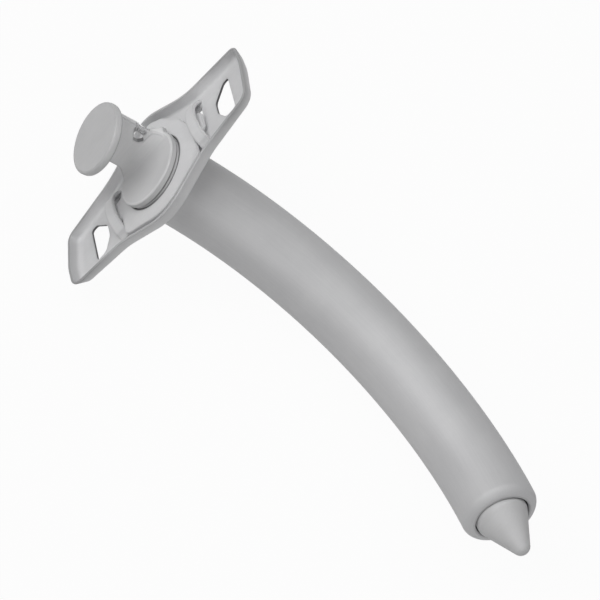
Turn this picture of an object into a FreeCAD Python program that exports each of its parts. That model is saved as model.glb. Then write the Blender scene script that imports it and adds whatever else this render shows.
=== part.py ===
# Metal tracheostomy tube with its obturator in place, lying on a table.
# Every piece is drawn in the tube's own frame: X runs along the neck plate, Y points to
# the head and Z out of the neck, with the origin where the tube's bend starts.
# The whole set is then turned onto the side on which it comes to rest.
import FreeCAD, Part
import math
import os
import Sketcher

Vector = FreeCAD.Vector
Rotation = FreeCAD.Rotation

sizes = {
    # Outer tube
    "tube_outer_radius": 6.0,
    "tube_wall": 0.65,
    "bend_radius": 58.4,
    "bend_angle": 76.8,
    "rim_height": 1.78,
    "end_wall": 0.9,
    "end_rounding": 1.6,
    "end_opening_radius": 4.3,
    # Collar plate, brazed round the tube's mouth
    "collar_bottom": 0.25,
    "collar_thickness": 0.65,
    "collar_side": 8.9,
    "collar_peak": 12.5,
    "upper_shoulder_reach": 3.35,
    "upper_shoulder_drop": 2.1,
    "lower_shoulder_reach": 6.88,
    "lower_shoulder_drop": 6.3,
    "ear_root": 8.26,
    "collar_hip": -5.1,
    "collar_foot": -9.4,
    "seat_top": 1.6,
    "seat_radius": 8.3,
    "braze_gap": 0.02,
    "ear_half_width": 2.7,
    "ear_reach": 11.6,
    "plate_centre": 1.7,
    # Neck plate, pressed from sheet with a turned-up lip
    "sheet": 0.52,
    "floor_top": -0.44,
    "lip_top": 1.33,
    "lip_flare": 0.9,
    "plate_hole_radius": 6.45,
    "foot_rounding": 0.75,
    "edge_rounding": 0.18,
    "slot_outer_edge": 17.05,
    "slot_depth": 3.6,
    "slot_length": 7.4,
    "slot_lift": 0.3,
    # Raised straps that hold the ears
    "strap_centre": 10.05,
    "strap_width": 2.0,
    "strap_rise": 2.6,
    "strap_half_span": 5.5,
    "window_inner": 9.1,
    "window_outer": 10.6,
    "window_foot": -0.4,
    "window_head": 4.6,
    # Catch at the top of the collar
    "catch_offset": 1.45,
    "catch_height": 7.6,
    "post_radius": 0.65,
    "post_top": 4.55,
    "pivot_radius": 0.36,
    "pivot_clearance": 0.05,
    "lever_thickness": 0.7,
    "lever_reach": 3.4,
    "lever_gap": 0.05,
    "lever_side": 0.15,
    "lever_taper": 0.75,
    "head_thickness": 0.35,
    # Obturator
    "seat_gap": 0.02,
    "flange_radius": 6.2,
    "flange_thickness": 1.17,
    "boss_clearance": 0.1,
    "boss_length": 1.4,
    "web_front": 3.5,
    "web_thickness": 1.17,
    "web_half_width": 3.85,
    "web_foot_flare": 1.1,
    "notch_left": 1.3,
    "notch_low": 1.4,
    "notch_high": 4.05,
    "finger_radius": 5.75,
    "finger_thickness": 1.38,
    "finger_height": 12.7,
    "finger_centre": 0.75,
    "finger_tilt_side": 4.2,
    "finger_tilt_back": 4.0,
    "finger_rounding": 0.3,
    "foot_blend": 1.9,
    "neck_blend": 1.0,
    "rod_radius": 1.7,
    "rod_end_angle": 1.0,
    "tip_clearance": 0.22,
    "tip_length": 7.0,
    "tip_back": 2.0,
    "tip_tilt": 9.0,
    "tip_nose_radius": 1.3,
    "tip_bevel": 0.5,
    "tip_shoulder": 0.2,
    # How the whole set lies on the table, turned about its own frame and then moved
    "rest_yaw": 97.0,
    "rest_pitch": -37.7,
    "rest_roll": -51.1,
    "rest_x": -32.266,
    "rest_y": -0.115,
    "rest_z": 16.245,
}

# The neck plate's outline at the top of its lip, clockwise: x and y of each corner,
# its rounding, and how far the lip leans out there along x and along y, as shares of
# the lip's flare. The wings' ends were finished by hand and differ a little.
plate_corners = [
    (0.0, 14.05, 6.0, 0.0, 0.4),
    (9.4, 9.05, 14.0, 0.0, 0.4),
    (21.4, 7.85, 1.5, 1.0, 0.5),
    (21.8, 3.2, 10.0, 1.0, 0.0),
    (21.15, -4.9, 2.4, 1.0, -1.7),
    (10.4, -6.2, 10.0, 0.0, -1.1),
    (0.0, -10.9, 9.0, 0.0, -1.0),
    (-10.4, -6.2, 10.0, 0.0, -1.1),
    (-21.85, -4.75, 2.4, -1.0, -1.7),
    (-22.0, 0.3, 8.0, -1.0, 0.0),
    (-20.75, 6.95, 1.9, -1.0, 0.5),
    (-9.4, 9.05, 14.0, 0.0, 0.4),
]

# A tape slot's outline, flat outside and bowed towards the tube: how far each corner
# lies across the slot from its outer edge, how far along it from the middle, as shares
# of its depth and half length, and the corner's rounding.
slot_corners = [
    (0.0, 1.0, 0.5),
    (0.0, -1.0, 0.6),
    (0.6, -1.0, 1.2),
    (1.0, -0.35, 1.6),
    (1.0, 0.35, 1.6),
    (0.35, 1.0, 0.8),
]

doc = FreeCAD.newDocument("tracheostomy_tube")
sheet = doc.addObject("Spreadsheet::Sheet", "sizes")
for row, (alias, value) in enumerate(sizes.items(), start=1):
    sheet.set(f"A{row}", alias)
    sheet.set(f"B{row}", str(value))
    sheet.setAlias(f"B{row}", alias)
doc.recompute()


def size(name):
    """Read one size from the sheet."""
    return float(sheet.get(name))


def new_body(label):
    """Start a sub-part whose label names its file."""
    body = doc.addObject("PartDesign::Body", label)
    body.Label = label
    return body


def new_sketch(body, name, role, offset=0.0, bound=None):
    """Attach a sketch to one of the body's own planes, moved along its normal."""
    plane = next(item for item in body.Origin.OriginFeatures if item.Role == role)
    sketch = body.newObject("Sketcher::SketchObject", name)
    sketch.AttachmentSupport = [(plane, "")]
    sketch.MapMode = "FlatFace"
    sketch.AttachmentOffset = FreeCAD.Placement(Vector(0, 0, offset), Rotation())
    if bound:
        sketch.setExpression("AttachmentOffset.Base.z", bound)
    return sketch


def add_circle(sketch, radius, centre=(0.0, 0.0), bound=None):
    """Draw a circle whose radius follows the sheet."""
    middle = Vector(centre[0], centre[1], 0)
    index = sketch.addGeometry(Part.Circle(middle, Vector(0, 0, 1), radius), False)
    place = sketch.addConstraint(Sketcher.Constraint("Radius", index, radius))
    if bound:
        sketch.setExpression(f"Constraints[{place}]", bound)
    return index


def rounded_outline(corners):
    """Turn corners (x, y, radius) into lines and tangent arcs, closed."""
    points = [Vector(x, y, 0) for x, y, radius in corners]
    count = len(points)
    starts = []
    ends = []
    arcs = []
    for number, (x, y, radius) in enumerate(corners):
        point = points[number]
        back = (points[number - 1] - point).normalize()
        ahead = (points[(number + 1) % count] - point).normalize()
        half = back.getAngle(ahead) / 2
        reach = radius / math.tan(half)
        bisector = (back + ahead).normalize()
        middle = point + bisector * (radius / math.sin(half) - radius)
        starts.append(point + back * reach)
        ends.append(point + ahead * reach)
        arcs.append(Part.Arc(starts[-1], middle, ends[-1]) if radius > 0 else None)
    geometry = []
    for number in range(count):
        if arcs[number]:
            geometry.append(arcs[number])
        geometry.append(Part.LineSegment(ends[number], starts[(number + 1) % count]))
    return geometry


def mirrored(half):
    """Complete a right-hand half outline with its left-hand mirror image."""
    left = [(-x, y, radius) for x, y, radius in reversed(half) if x > 0]
    return list(half) + left


def inset(corners, distance):
    """Move an outline inwards, with its roundings kept concentric."""
    count = len(corners)
    moved = []
    for number, (x, y, radius) in enumerate(corners):
        point = Vector(x, y, 0)
        before = Vector(*corners[number - 1][:2], 0)
        after = Vector(*corners[(number + 1) % count][:2], 0)
        along_in = (point - before).normalize()
        along_out = (after - point).normalize()
        normal_in = Vector(along_in.y, -along_in.x, 0)
        normal_out = Vector(along_out.y, -along_out.x, 0)
        turn = along_in.cross(along_out).z
        shift = (normal_in + normal_out) * (distance / (1 + normal_in.dot(normal_out)))
        change = -distance if turn < 0 else distance
        new = point + shift
        moved.append((new.x, new.y, max(radius + change, 0.05)))
    return moved


def add_feature(body, kind, name, profile, **values):
    """Add a sketched feature to a body."""
    feature = body.newObject(f"PartDesign::{kind}", name)
    feature.Profile = profile
    for key, value in values.items():
        setattr(feature, key, value)
    return feature


def pad(body, name, profile, bound, **values):
    """Raise a profile by a length read from the sheet."""
    feature = add_feature(body, "Pad", name, profile, **values)
    feature.setExpression("Length", bound)
    return feature


def pocket(body, name, profile, bound, **values):
    """Sink a profile by a length read from the sheet."""
    feature = add_feature(body, "Pocket", name, profile, **values)
    feature.setExpression("Length", bound)
    return feature


def bend_sketch(body, name, radius_bound, radius):
    """Draw a section of the bend with the line that it turns about."""
    sketch = new_sketch(body, name, "XY_Plane")
    add_circle(sketch, radius, bound=radius_bound)
    centre = -size("bend_radius")
    axis = Part.LineSegment(Vector(20, centre, 0), Vector(-20, centre, 0))
    sketch.addGeometry(axis, True)
    distance = Sketcher.Constraint("DistanceY", 1, 1, -1, 1, size("bend_radius"))
    place = sketch.addConstraint(distance)
    sketch.setExpression(f"Constraints[{place}]", "sizes.bend_radius")
    sketch.addConstraint(Sketcher.Constraint("Horizontal", 1))
    return sketch


def round_edges(body, name, radius_bound, wanted):
    """Round the edges of the last feature that the test picks."""
    doc.recompute()
    base = body.Tip
    names = [f"Edge{n}" for n, edge in enumerate(base.Shape.Edges, start=1) if wanted(edge)]
    fillet = body.newObject("PartDesign::Fillet", name)
    fillet.Base = (base, names)
    fillet.setExpression("Radius", radius_bound)
    return fillet


def bend_point(angle):
    """Give the place on the tube's axis at an angle along its bend."""
    turn = math.radians(angle)
    radius = size("bend_radius")
    return Vector(0, -radius * (1 - math.cos(turn)), -radius * math.sin(turn))


def make_outer_tube():
    """A thin tube bent to a quarter turn, its far end drawn in round the opening."""
    body = new_body("outer_tube")
    mouth = new_sketch(body, "mouth_section", "XY_Plane")
    add_circle(mouth, size("tube_outer_radius"), bound="sizes.tube_outer_radius")
    pad(body, "mouth", mouth, "sizes.rim_height")
    outside = bend_sketch(body, "outside_section", "sizes.tube_outer_radius",
                          size("tube_outer_radius"))
    bend = add_feature(body, "Revolution", "bend", outside, ReferenceAxis=(outside, ["Axis0"]))
    bend.setExpression("Angle", "sizes.bend_angle")
    far_end = bend_point(size("bend_angle"))

    def at_far_end(edge):
        near = (edge.CenterOfMass - far_end).Length < 1.0
        return near and isinstance(edge.Curve, Part.Circle) and edge.Closed

    round_edges(body, "end_shoulder", "sizes.end_rounding", at_far_end)
    bore_radius = "sizes.tube_outer_radius - sizes.tube_wall"
    inside = bend_sketch(body, "inside_section", bore_radius,
                         size("tube_outer_radius") - size("tube_wall"))
    bore = add_feature(body, "Groove", "bore", inside, ReferenceAxis=(inside, ["Axis0"]))
    bore.setExpression("Angle", "sizes.bend_angle - sizes.end_wall / sizes.bend_radius * 57.2958")
    upper = new_sketch(body, "mouth_bore_section", "XY_Plane")
    add_circle(upper, size("tube_outer_radius") - size("tube_wall"), bound=bore_radius)
    pocket(body, "mouth_bore", upper, "sizes.rim_height * 2", Reversed=True)
    opening = bend_sketch(body, "opening_section", "sizes.end_opening_radius",
                          size("end_opening_radius"))
    way_out = add_feature(body, "Groove", "end_opening", opening,
                          ReferenceAxis=(opening, ["Axis0"]))
    way_out.setExpression("Angle", "sizes.bend_angle + 2")
    doc.recompute()
    return body


def collar_outline():
    """Round below, drawn to a peak above for the catch, with an ear on each side."""
    middle = size("plate_centre")
    ear_top = middle + size("ear_half_width")
    ear_foot = middle - size("ear_half_width")
    reach = size("ear_reach")
    peak = size("collar_peak")
    half = [
        (0.0, peak, 3.0),
        (size("upper_shoulder_reach"), peak - size("upper_shoulder_drop"), 3.0),
        (size("lower_shoulder_reach"), peak - size("lower_shoulder_drop"), 1.5),
        (size("ear_root"), ear_top, 0.8),
        (reach, ear_top, 1.0),
        (reach, ear_foot, 1.0),
        (size("collar_side"), ear_foot, 0.4),
        (size("collar_side"), size("collar_hip"), 1.5),
        (0.0, size("collar_foot"), 8.0),
    ]
    return mirrored(half)


def make_collar_plate():
    """The flat plate brazed to the tube, from which the neck plate hangs by the ears."""
    body = new_body("collar_plate")
    outline = new_sketch(body, "collar_outline", "XY_Plane", size("collar_bottom"),
                         "sizes.collar_bottom")
    for item in rounded_outline(collar_outline()):
        outline.addGeometry(item, False)
    pad(body, "collar", outline, "sizes.collar_thickness")
    hole = new_sketch(body, "tube_seat", "XY_Plane", size("collar_bottom"), "sizes.collar_bottom")
    add_circle(hole, size("tube_outer_radius") + size("braze_gap"),
               bound="sizes.tube_outer_radius + sizes.braze_gap")
    pocket(body, "tube_hole", hole, "sizes.collar_thickness", Reversed=True)

    face = size("collar_bottom") + size("collar_thickness")
    bore = size("tube_outer_radius") + size("braze_gap")
    flat = bore + size("tube_wall")
    sink = size("collar_thickness") / 2
    corners = [
        Vector(bore, face - sink, 0),
        Vector(size("seat_radius") - sink, face - sink, 0),
        Vector(size("seat_radius"), face, 0),
        Vector(flat, size("seat_top"), 0),
        Vector(bore, size("seat_top"), 0),
    ]
    rise = new_sketch(body, "seat_section", "XZ_Plane")
    for first, last in zip(corners, corners[1:] + corners[:1]):
        rise.addGeometry(Part.LineSegment(first, last), False)
    add_feature(body, "Revolution", "raised_seat", rise, ReferenceAxis=(rise, ["V_Axis"]))
    foot = new_sketch(body, "post_seat", "XY_Plane", face,
                      "sizes.collar_bottom + sizes.collar_thickness")
    place = (size("catch_offset"), size("catch_height"))
    add_circle(foot, size("post_radius") + size("braze_gap"), place,
               "sizes.post_radius + sizes.braze_gap")
    pocket(body, "post_hollow", foot, "sizes.seat_top", Reversed=True)
    doc.recompute()
    return body


def plate_outline(level):
    """The neck plate's outline at the foot of the lip (level 0) or at its top (level 1)."""
    lean = size("lip_flare") * (level - 1)
    outline = []
    for x, y, rounding, share_x, share_y in plate_corners:
        outline.append((x + lean * share_x, y + lean * share_y, rounding))
    return outline


def loft_sketch(body, name, height, level, wall):
    """Draw the plate's outline at a height, moved in by the sheet's thickness."""
    sketch = new_sketch(body, name, "XY_Plane", height)
    for item in rounded_outline(inset(plate_outline(level), wall)):
        sketch.addGeometry(item, False)
    return sketch


def make_neck_plate():
    """A pressed tray with a central lobe, two wings, tape slots and raised straps."""
    body = new_body("neck_plate")
    foot = size("floor_top") - size("sheet")
    top = size("lip_top")
    floor_level = size("sheet") / (top - foot)
    low = loft_sketch(body, "foot_outline", foot, 0.0, 0.0)
    high = loft_sketch(body, "lip_outline", top, 1.0, 0.0)
    add_feature(body, "AdditiveLoft", "pressing", low, Sections=[high], Ruled=True)
    inner_low = loft_sketch(body, "tray_floor", size("floor_top"), floor_level, size("sheet"))
    inner_high = loft_sketch(body, "tray_mouth", top, 1.0, size("sheet"))
    add_feature(body, "SubtractiveLoft", "tray", inner_low, Sections=[inner_high], Ruled=True)
    doc.recompute()

    def on_foot(edge):
        box = edge.BoundBox
        return box.ZMax < foot + 0.01 and box.ZMin > foot - 0.01

    round_edges(body, "foot_edge", "sizes.foot_rounding", on_foot)

    def on_lip(edge):
        return edge.BoundBox.ZMin > top - 0.01

    round_edges(body, "lip_edge", "sizes.edge_rounding", on_lip)

    hole = new_sketch(body, "tube_passage", "XY_Plane", 0.0)
    add_circle(hole, size("plate_hole_radius"), bound="sizes.plate_hole_radius")
    pocket(body, "tube_hole", hole, "sizes.sheet * 4")

    slots = new_sketch(body, "tape_slots", "XY_Plane", 0.0)
    middle = size("plate_centre") + size("slot_lift")
    half_slot = size("slot_length") / 2
    for side in (-1, 1):
        corners = []
        for across, along, rounding in slot_corners:
            x = size("slot_outer_edge") - across * size("slot_depth")
            corners.append((side * x, middle + along * half_slot, rounding))
        for item in rounded_outline(corners):
            slots.addGeometry(item, False)
    pocket(body, "tape_slot", slots, "sizes.sheet * 4")

    centre = size("strap_centre")
    half_width = size("strap_width") / 2
    half_span = size("strap_half_span")
    thick = size("sheet")
    middle = size("plate_centre")
    windows = new_sketch(body, "strap_windows", "XY_Plane", 0.0)
    for side in (-1, 1):
        near = side * size("window_inner")
        far = side * size("window_outer")
        corners = [
            (near, size("window_foot"), 0.2),
            (far, size("window_foot"), 0.2),
            (far, size("window_head"), 0.2),
            (near, size("window_head"), 0.2),
        ]
        for item in rounded_outline(corners):
            windows.addGeometry(item, False)
    pocket(body, "strap_window", windows, "sizes.sheet * 4")

    rise = size("strap_rise")
    bow = (half_span ** 2 + rise ** 2) / (2 * rise)
    crown = size("floor_top") + rise
    sweep = math.asin(half_span / bow)
    for side, name in ((-1, "left"), (1, "right")):
        arch = new_sketch(body, f"{name}_strap_section", "YZ_Plane", side * centre - half_width)
        top_foot = Vector(middle - half_span, size("floor_top"), 0)
        top_end = Vector(middle + half_span, size("floor_top"), 0)
        low_bow = bow - thick
        drop = Vector(low_bow * math.sin(sweep), crown - bow + low_bow * math.cos(sweep), 0)
        low_foot = Vector(middle - drop.x, drop.y, 0)
        low_end = Vector(middle + drop.x, drop.y, 0)
        arch.addGeometry(Part.Arc(top_foot, Vector(middle, crown, 0), top_end), False)
        arch.addGeometry(Part.LineSegment(top_end, low_end), False)
        arch.addGeometry(Part.Arc(low_end, Vector(middle, crown - thick, 0), low_foot), False)
        arch.addGeometry(Part.LineSegment(low_foot, top_foot), False)
        pad(body, f"{name}_strap", arch, "sizes.strap_width")
    doc.recompute()
    return body


def make_catch_post():
    """A stepped post on the collar with a turned-over head that keeps the lever on."""
    body = new_body("catch_post")
    place = (size("catch_offset"), size("catch_height"))
    base = size("collar_bottom") + size("collar_thickness")
    foot = new_sketch(body, "post_section", "XY_Plane", base,
                      "sizes.collar_bottom + sizes.collar_thickness")
    add_circle(foot, size("post_radius"), place, "sizes.post_radius")
    pad(body, "post", foot, "sizes.post_top - sizes.collar_bottom - sizes.collar_thickness")
    journal = new_sketch(body, "pivot_section", "XY_Plane", size("post_top"), "sizes.post_top")
    add_circle(journal, size("pivot_radius"), place, "sizes.pivot_radius")
    pad(body, "pivot", journal, "sizes.lever_thickness + sizes.lever_gap * 2")
    head = new_sketch(body, "head_section", "XY_Plane",
                      size("post_top") + size("lever_thickness") + 2 * size("lever_gap"),
                      "sizes.post_top + sizes.lever_thickness + sizes.lever_gap * 2")
    add_circle(head, size("post_radius"), place, "sizes.post_radius")
    pad(body, "head", head, "sizes.head_thickness")
    doc.recompute()
    return body


def make_catch_lever():
    """A small lever that turns on the post and swings over what is put in the tube."""
    body = new_body("catch_lever")
    x = size("catch_offset")
    y = size("catch_height")
    wide = size("post_radius") + size("lever_side")
    narrow = wide * size("lever_taper")
    reach = size("lever_reach")
    base = "sizes.post_top + sizes.lever_gap"
    outline = new_sketch(body, "lever_outline", "XY_Plane",
                         size("post_top") + size("lever_gap"), base)
    corners = [
        (x + wide, y + wide, wide * 0.95),
        (x - reach, y + narrow, narrow * 0.9),
        (x - reach, y - narrow, narrow * 0.9),
        (x + wide, y - wide, wide * 0.95),
    ]
    for item in rounded_outline(corners):
        outline.addGeometry(item, False)
    pad(body, "lever", outline, "sizes.lever_thickness")
    hole = new_sketch(body, "pivot_hole", "XY_Plane",
                      size("post_top") + size("lever_gap"), base)
    add_circle(hole, size("pivot_radius") + size("pivot_clearance"), (x, y),
               "sizes.pivot_radius + sizes.pivot_clearance")
    pocket(body, "pivot_bore", hole, "sizes.lever_thickness", Reversed=True)
    doc.recompute()
    return body


def finger_placement():
    """Where the finger disc's top face lies, tipped slightly back and to one side."""
    tip_back = Rotation(Vector(1, 0, 0), size("finger_tilt_back"))
    tip_side = Rotation(Vector(0, 1, 0), -size("finger_tilt_side"))
    place = Vector(0, size("finger_centre"), size("finger_height"))
    return FreeCAD.Placement(place, tip_side * tip_back)


def make_obturator_handle():
    """A flange that closes the tube, an upright web and a finger disc on top of it."""
    body = new_body("obturator_handle")
    seat = size("rim_height") + size("seat_gap")
    seat_bound = "sizes.rim_height + sizes.seat_gap"
    flange = new_sketch(body, "flange_outline", "XY_Plane", seat, seat_bound)
    add_circle(flange, size("flange_radius"), bound="sizes.flange_radius")
    pad(body, "flange", flange, "sizes.flange_thickness")

    def on_flange_rim(edge):
        return edge.BoundBox.ZMin > seat + size("flange_thickness") - 0.01

    round_edges(body, "flange_edge", "sizes.finger_rounding", on_flange_rim)

    back = size("web_front") + size("web_thickness")
    face = seat + size("flange_thickness")
    half = size("web_half_width")
    flare = size("web_foot_flare")
    tall = size("finger_height")
    notch_left = size("notch_left")
    notch_low = face + size("notch_low")
    notch_high = face + size("notch_high")
    web = new_sketch(body, "web_outline", "XZ_Plane", -back,
                     "-(sizes.web_front + sizes.web_thickness)")
    corners = [
        (-half - flare, seat, 0.0),
        (half + flare, seat, 0.0),
        (half + flare, face, 0.3),
        (half, notch_low - 0.15, 0.5),
        (half * 0.55, notch_low, 0.2),
        (notch_left + 0.5, notch_low, 0.3),
        (notch_left, notch_low + 0.6, 0.3),
        (notch_left, notch_low + 1.4, 0.3),
        (half * 0.8, notch_high - 0.1, 0.4),
        (half, notch_high, 0.1),
        (half, tall + 0.2, 0.0),
        (-half, tall - 1.0, 0.0),
        (-half, notch_low, 1.5),
        (-half - flare, face, 0.3),
    ]
    for item in rounded_outline(corners):
        web.addGeometry(item, False)
    pad(body, "web", web, "sizes.web_thickness")

    front = size("web_front")
    bow = size("foot_blend")
    depth = bow * (1 - math.sqrt(0.5))
    top = Vector(front, face + bow, 0)
    toe = Vector(front - bow, face, 0)
    hollow = Vector(front - depth, face + depth, 0)
    root = Vector(front + size("web_thickness") / 2, face - size("flange_thickness") / 2, 0)
    blend = new_sketch(body, "web_foot_section", "YZ_Plane")
    blend.addGeometry(Part.Arc(top, hollow, toe), False)
    blend.addGeometry(Part.LineSegment(toe, root), False)
    blend.addGeometry(Part.LineSegment(root, top), False)
    pad(body, "web_foot", blend, "sizes.web_half_width * 2", Midplane=True)

    place = finger_placement()
    plane = next(item for item in body.Origin.OriginFeatures if item.Role == "XY_Plane")
    disc = body.newObject("Sketcher::SketchObject", "finger_outline")
    disc.AttachmentSupport = [(plane, "")]
    disc.MapMode = "FlatFace"
    disc.AttachmentOffset = place
    add_circle(disc, size("finger_radius"), bound="sizes.finger_radius")
    pad(body, "finger_disc", disc, "sizes.finger_thickness", Reversed=True)

    def on_finger_rim(edge):
        circle = isinstance(edge.Curve, Part.Circle)
        return circle and abs(edge.Curve.Radius - size("finger_radius")) < 0.01

    round_edges(body, "finger_edge", "sizes.finger_rounding", on_finger_rim)

    def at_web_head(edge):
        middle = edge.CenterOfMass
        front = abs(middle.y - size("web_front")) < 0.02
        high = size("finger_height") - size("finger_thickness")
        return front and abs(middle.z - high) < 0.8 and edge.Length > half

    round_edges(body, "web_head", "sizes.neck_blend", at_web_head)

    boss = new_sketch(body, "boss_section", "XY_Plane", seat, seat_bound)
    add_circle(boss, size("tube_outer_radius") - size("tube_wall") - size("boss_clearance"),
               bound="sizes.tube_outer_radius - sizes.tube_wall - sizes.boss_clearance")
    pad(body, "locating_boss", boss, "sizes.boss_length", Reversed=True)
    doc.recompute()
    return body


def make_obturator_rod():
    """The curved rod that runs down the middle of the tube."""
    body = new_body("obturator_rod")
    upper = new_sketch(body, "rod_top_section", "XY_Plane")
    add_circle(upper, size("rod_radius"), bound="sizes.rod_radius")
    pad(body, "rod_top", upper, "sizes.rim_height + sizes.seat_gap - sizes.boss_length")
    section = bend_sketch(body, "rod_section", "sizes.rod_radius", size("rod_radius"))
    bend = add_feature(body, "Revolution", "rod_bend", section,
                       ReferenceAxis=(section, ["Axis0"]))
    bend.setExpression("Angle", "sizes.bend_angle - sizes.rod_end_angle")
    doc.recompute()
    return body


def make_obturator_tip():
    """The bullet nose that fills the tube's end opening."""
    body = new_body("obturator_tip")
    middle_of_opening = bend_point(size("bend_angle"))
    turn = math.radians(size("bend_angle") - size("tip_tilt"))
    along = Vector(0, -math.sin(turn), -math.cos(turn))
    back = size("tip_back")
    start = middle_of_opening - along * back
    heading = math.degrees(math.atan2(along.z, along.y))
    radius = size("end_opening_radius") - size("tip_clearance")
    nose = size("tip_nose_radius")
    length = back + size("tip_length")
    shoulder = back + size("tip_shoulder")
    bevel = size("tip_bevel")
    slope = math.atan2(radius - nose, length - shoulder - nose)
    touch = Vector(length - nose + nose * math.sin(slope), nose * math.cos(slope), 0)
    on_nose = Vector(length - nose + nose * math.cos(0.6), nose * math.sin(0.6), 0)
    profile = new_sketch(body, "nose_profile", "YZ_Plane")
    spin = Rotation(Vector(0, 0, 1), heading)
    profile.AttachmentOffset = FreeCAD.Placement(Vector(start.y, start.z, 0), spin)
    corners = [
        Vector(length, 0, 0),
        Vector(0, 0, 0),
        Vector(0, radius - bevel, 0),
        Vector(bevel, radius, 0),
        Vector(shoulder, radius, 0),
        touch,
    ]
    for first, last in zip(corners, corners[1:]):
        profile.addGeometry(Part.LineSegment(first, last), False)
    profile.addGeometry(Part.Arc(touch, on_nose, corners[0]), False)
    add_feature(body, "Revolution", "nose", profile, ReferenceAxis=(profile, ["H_Axis"]))
    socket_bound = "sizes.rod_radius + sizes.braze_gap"
    socket = bend_sketch(body, "rod_socket_section", socket_bound,
                         size("rod_radius") + size("braze_gap"))
    hollow = add_feature(body, "Groove", "rod_socket", socket, ReferenceAxis=(socket, ["Axis0"]))
    hollow.setExpression("Angle", "sizes.bend_angle - sizes.rod_end_angle + 0.02")
    doc.recompute()
    return body


bodies = [
    make_outer_tube(),
    make_collar_plate(),
    make_neck_plate(),
    make_catch_post(),
    make_catch_lever(),
    make_obturator_handle(),
    make_obturator_rod(),
    make_obturator_tip(),
]

turned = Rotation(size("rest_yaw"), size("rest_pitch"), size("rest_roll"))
for body in bodies:
    body.Placement = FreeCAD.Placement(Vector(0, 0, 0), turned)
    for letter in "xyz":
        body.setExpression(f"Placement.Base.{letter}", f"sizes.rest_{letter}")
doc.recompute()

for item in doc.Objects:
    if "Invalid" in item.State or "Error" in item.State:
        raise RuntimeError(f"{item.Label} failed: {item.State}")
for body in bodies:
    if body.Shape.isNull() or not body.Shape.isValid():
        raise RuntimeError(f"{body.Label} has no valid shape")

os.makedirs("parts", exist_ok=True)
for body in bodies:
    body.Shape.exportStep(f"parts/{body.Label}.step")
    print(body.Label, round(body.Shape.Volume, 2), len(body.Shape.Solids))
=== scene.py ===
# Metal tracheostomy tube with its obturator, lying on a pale table.
import bmesh
import bpy
import math
from mathutils import Matrix, Vector, geometry


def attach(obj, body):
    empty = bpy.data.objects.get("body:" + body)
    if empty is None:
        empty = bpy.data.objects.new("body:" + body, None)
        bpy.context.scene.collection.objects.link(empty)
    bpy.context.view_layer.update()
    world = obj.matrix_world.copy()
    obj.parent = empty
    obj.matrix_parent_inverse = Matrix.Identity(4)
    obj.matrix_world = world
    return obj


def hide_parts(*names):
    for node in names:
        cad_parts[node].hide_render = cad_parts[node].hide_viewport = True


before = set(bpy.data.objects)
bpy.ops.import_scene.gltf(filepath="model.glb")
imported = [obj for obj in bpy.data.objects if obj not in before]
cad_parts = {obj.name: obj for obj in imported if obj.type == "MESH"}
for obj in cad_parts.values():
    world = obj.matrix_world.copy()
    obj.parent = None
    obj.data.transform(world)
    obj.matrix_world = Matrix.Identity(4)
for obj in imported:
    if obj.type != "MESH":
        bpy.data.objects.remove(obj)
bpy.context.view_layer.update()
print("frame loaded:", ", ".join(sorted(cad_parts)))

# The instrument's own frame: X along the neck plate, Y to the head, Z out of the neck.
# part.py turns it onto the table with these angles and this shift.
rest = {
    "yaw": 97.0,
    "pitch": -37.7,
    "roll": -51.1,
    "shift": (-32.266, -0.115, 16.245),
}


def restMatrix():
    turned = Matrix.Rotation(math.radians(rest["yaw"]), 4, "Z")
    turned = turned @ Matrix.Rotation(math.radians(rest["pitch"]), 4, "Y")
    turned = turned @ Matrix.Rotation(math.radians(rest["roll"]), 4, "X")
    return Matrix.Scale(0.001, 4) @ Matrix.Translation(rest["shift"]) @ turned


toTable = restMatrix()


def nodeAt(tree, kind, x, y, **values):
    node = tree.nodes.new(kind)
    node.location = (x, y)
    for name, value in values.items():
        setattr(node, name, value)
    return node


# ---- settings of the shot
shot = {
    "eye": (228.13, -442.19, 257.36),
    "right": (0.622, -0.171, -0.764),
    "up": (0.669, 0.623, 0.405),
    "lens": 222.58,
    "sensor": 36.0,
}


def makeCamera():
    data = bpy.data.cameras.new("shotCamera")
    data.sensor_width = shot["sensor"]
    data.lens = shot["lens"]
    data.clip_start = 0.01
    data.clip_end = 20.0
    camera = bpy.data.objects.new("shotCamera", data)
    bpy.context.scene.collection.objects.link(camera)
    right = Vector(shot["right"]).normalized()
    up = Vector(shot["up"])
    up = (up - right * up.dot(right)).normalized()
    back = right.cross(up)
    turn = toTable.to_3x3() * 1000.0
    axes = Matrix((turn @ right, turn @ up, turn @ back)).transposed().to_4x4()
    camera.matrix_world = Matrix.Translation(toTable @ Vector(shot["eye"])) @ axes
    bpy.context.scene.camera = camera


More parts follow.
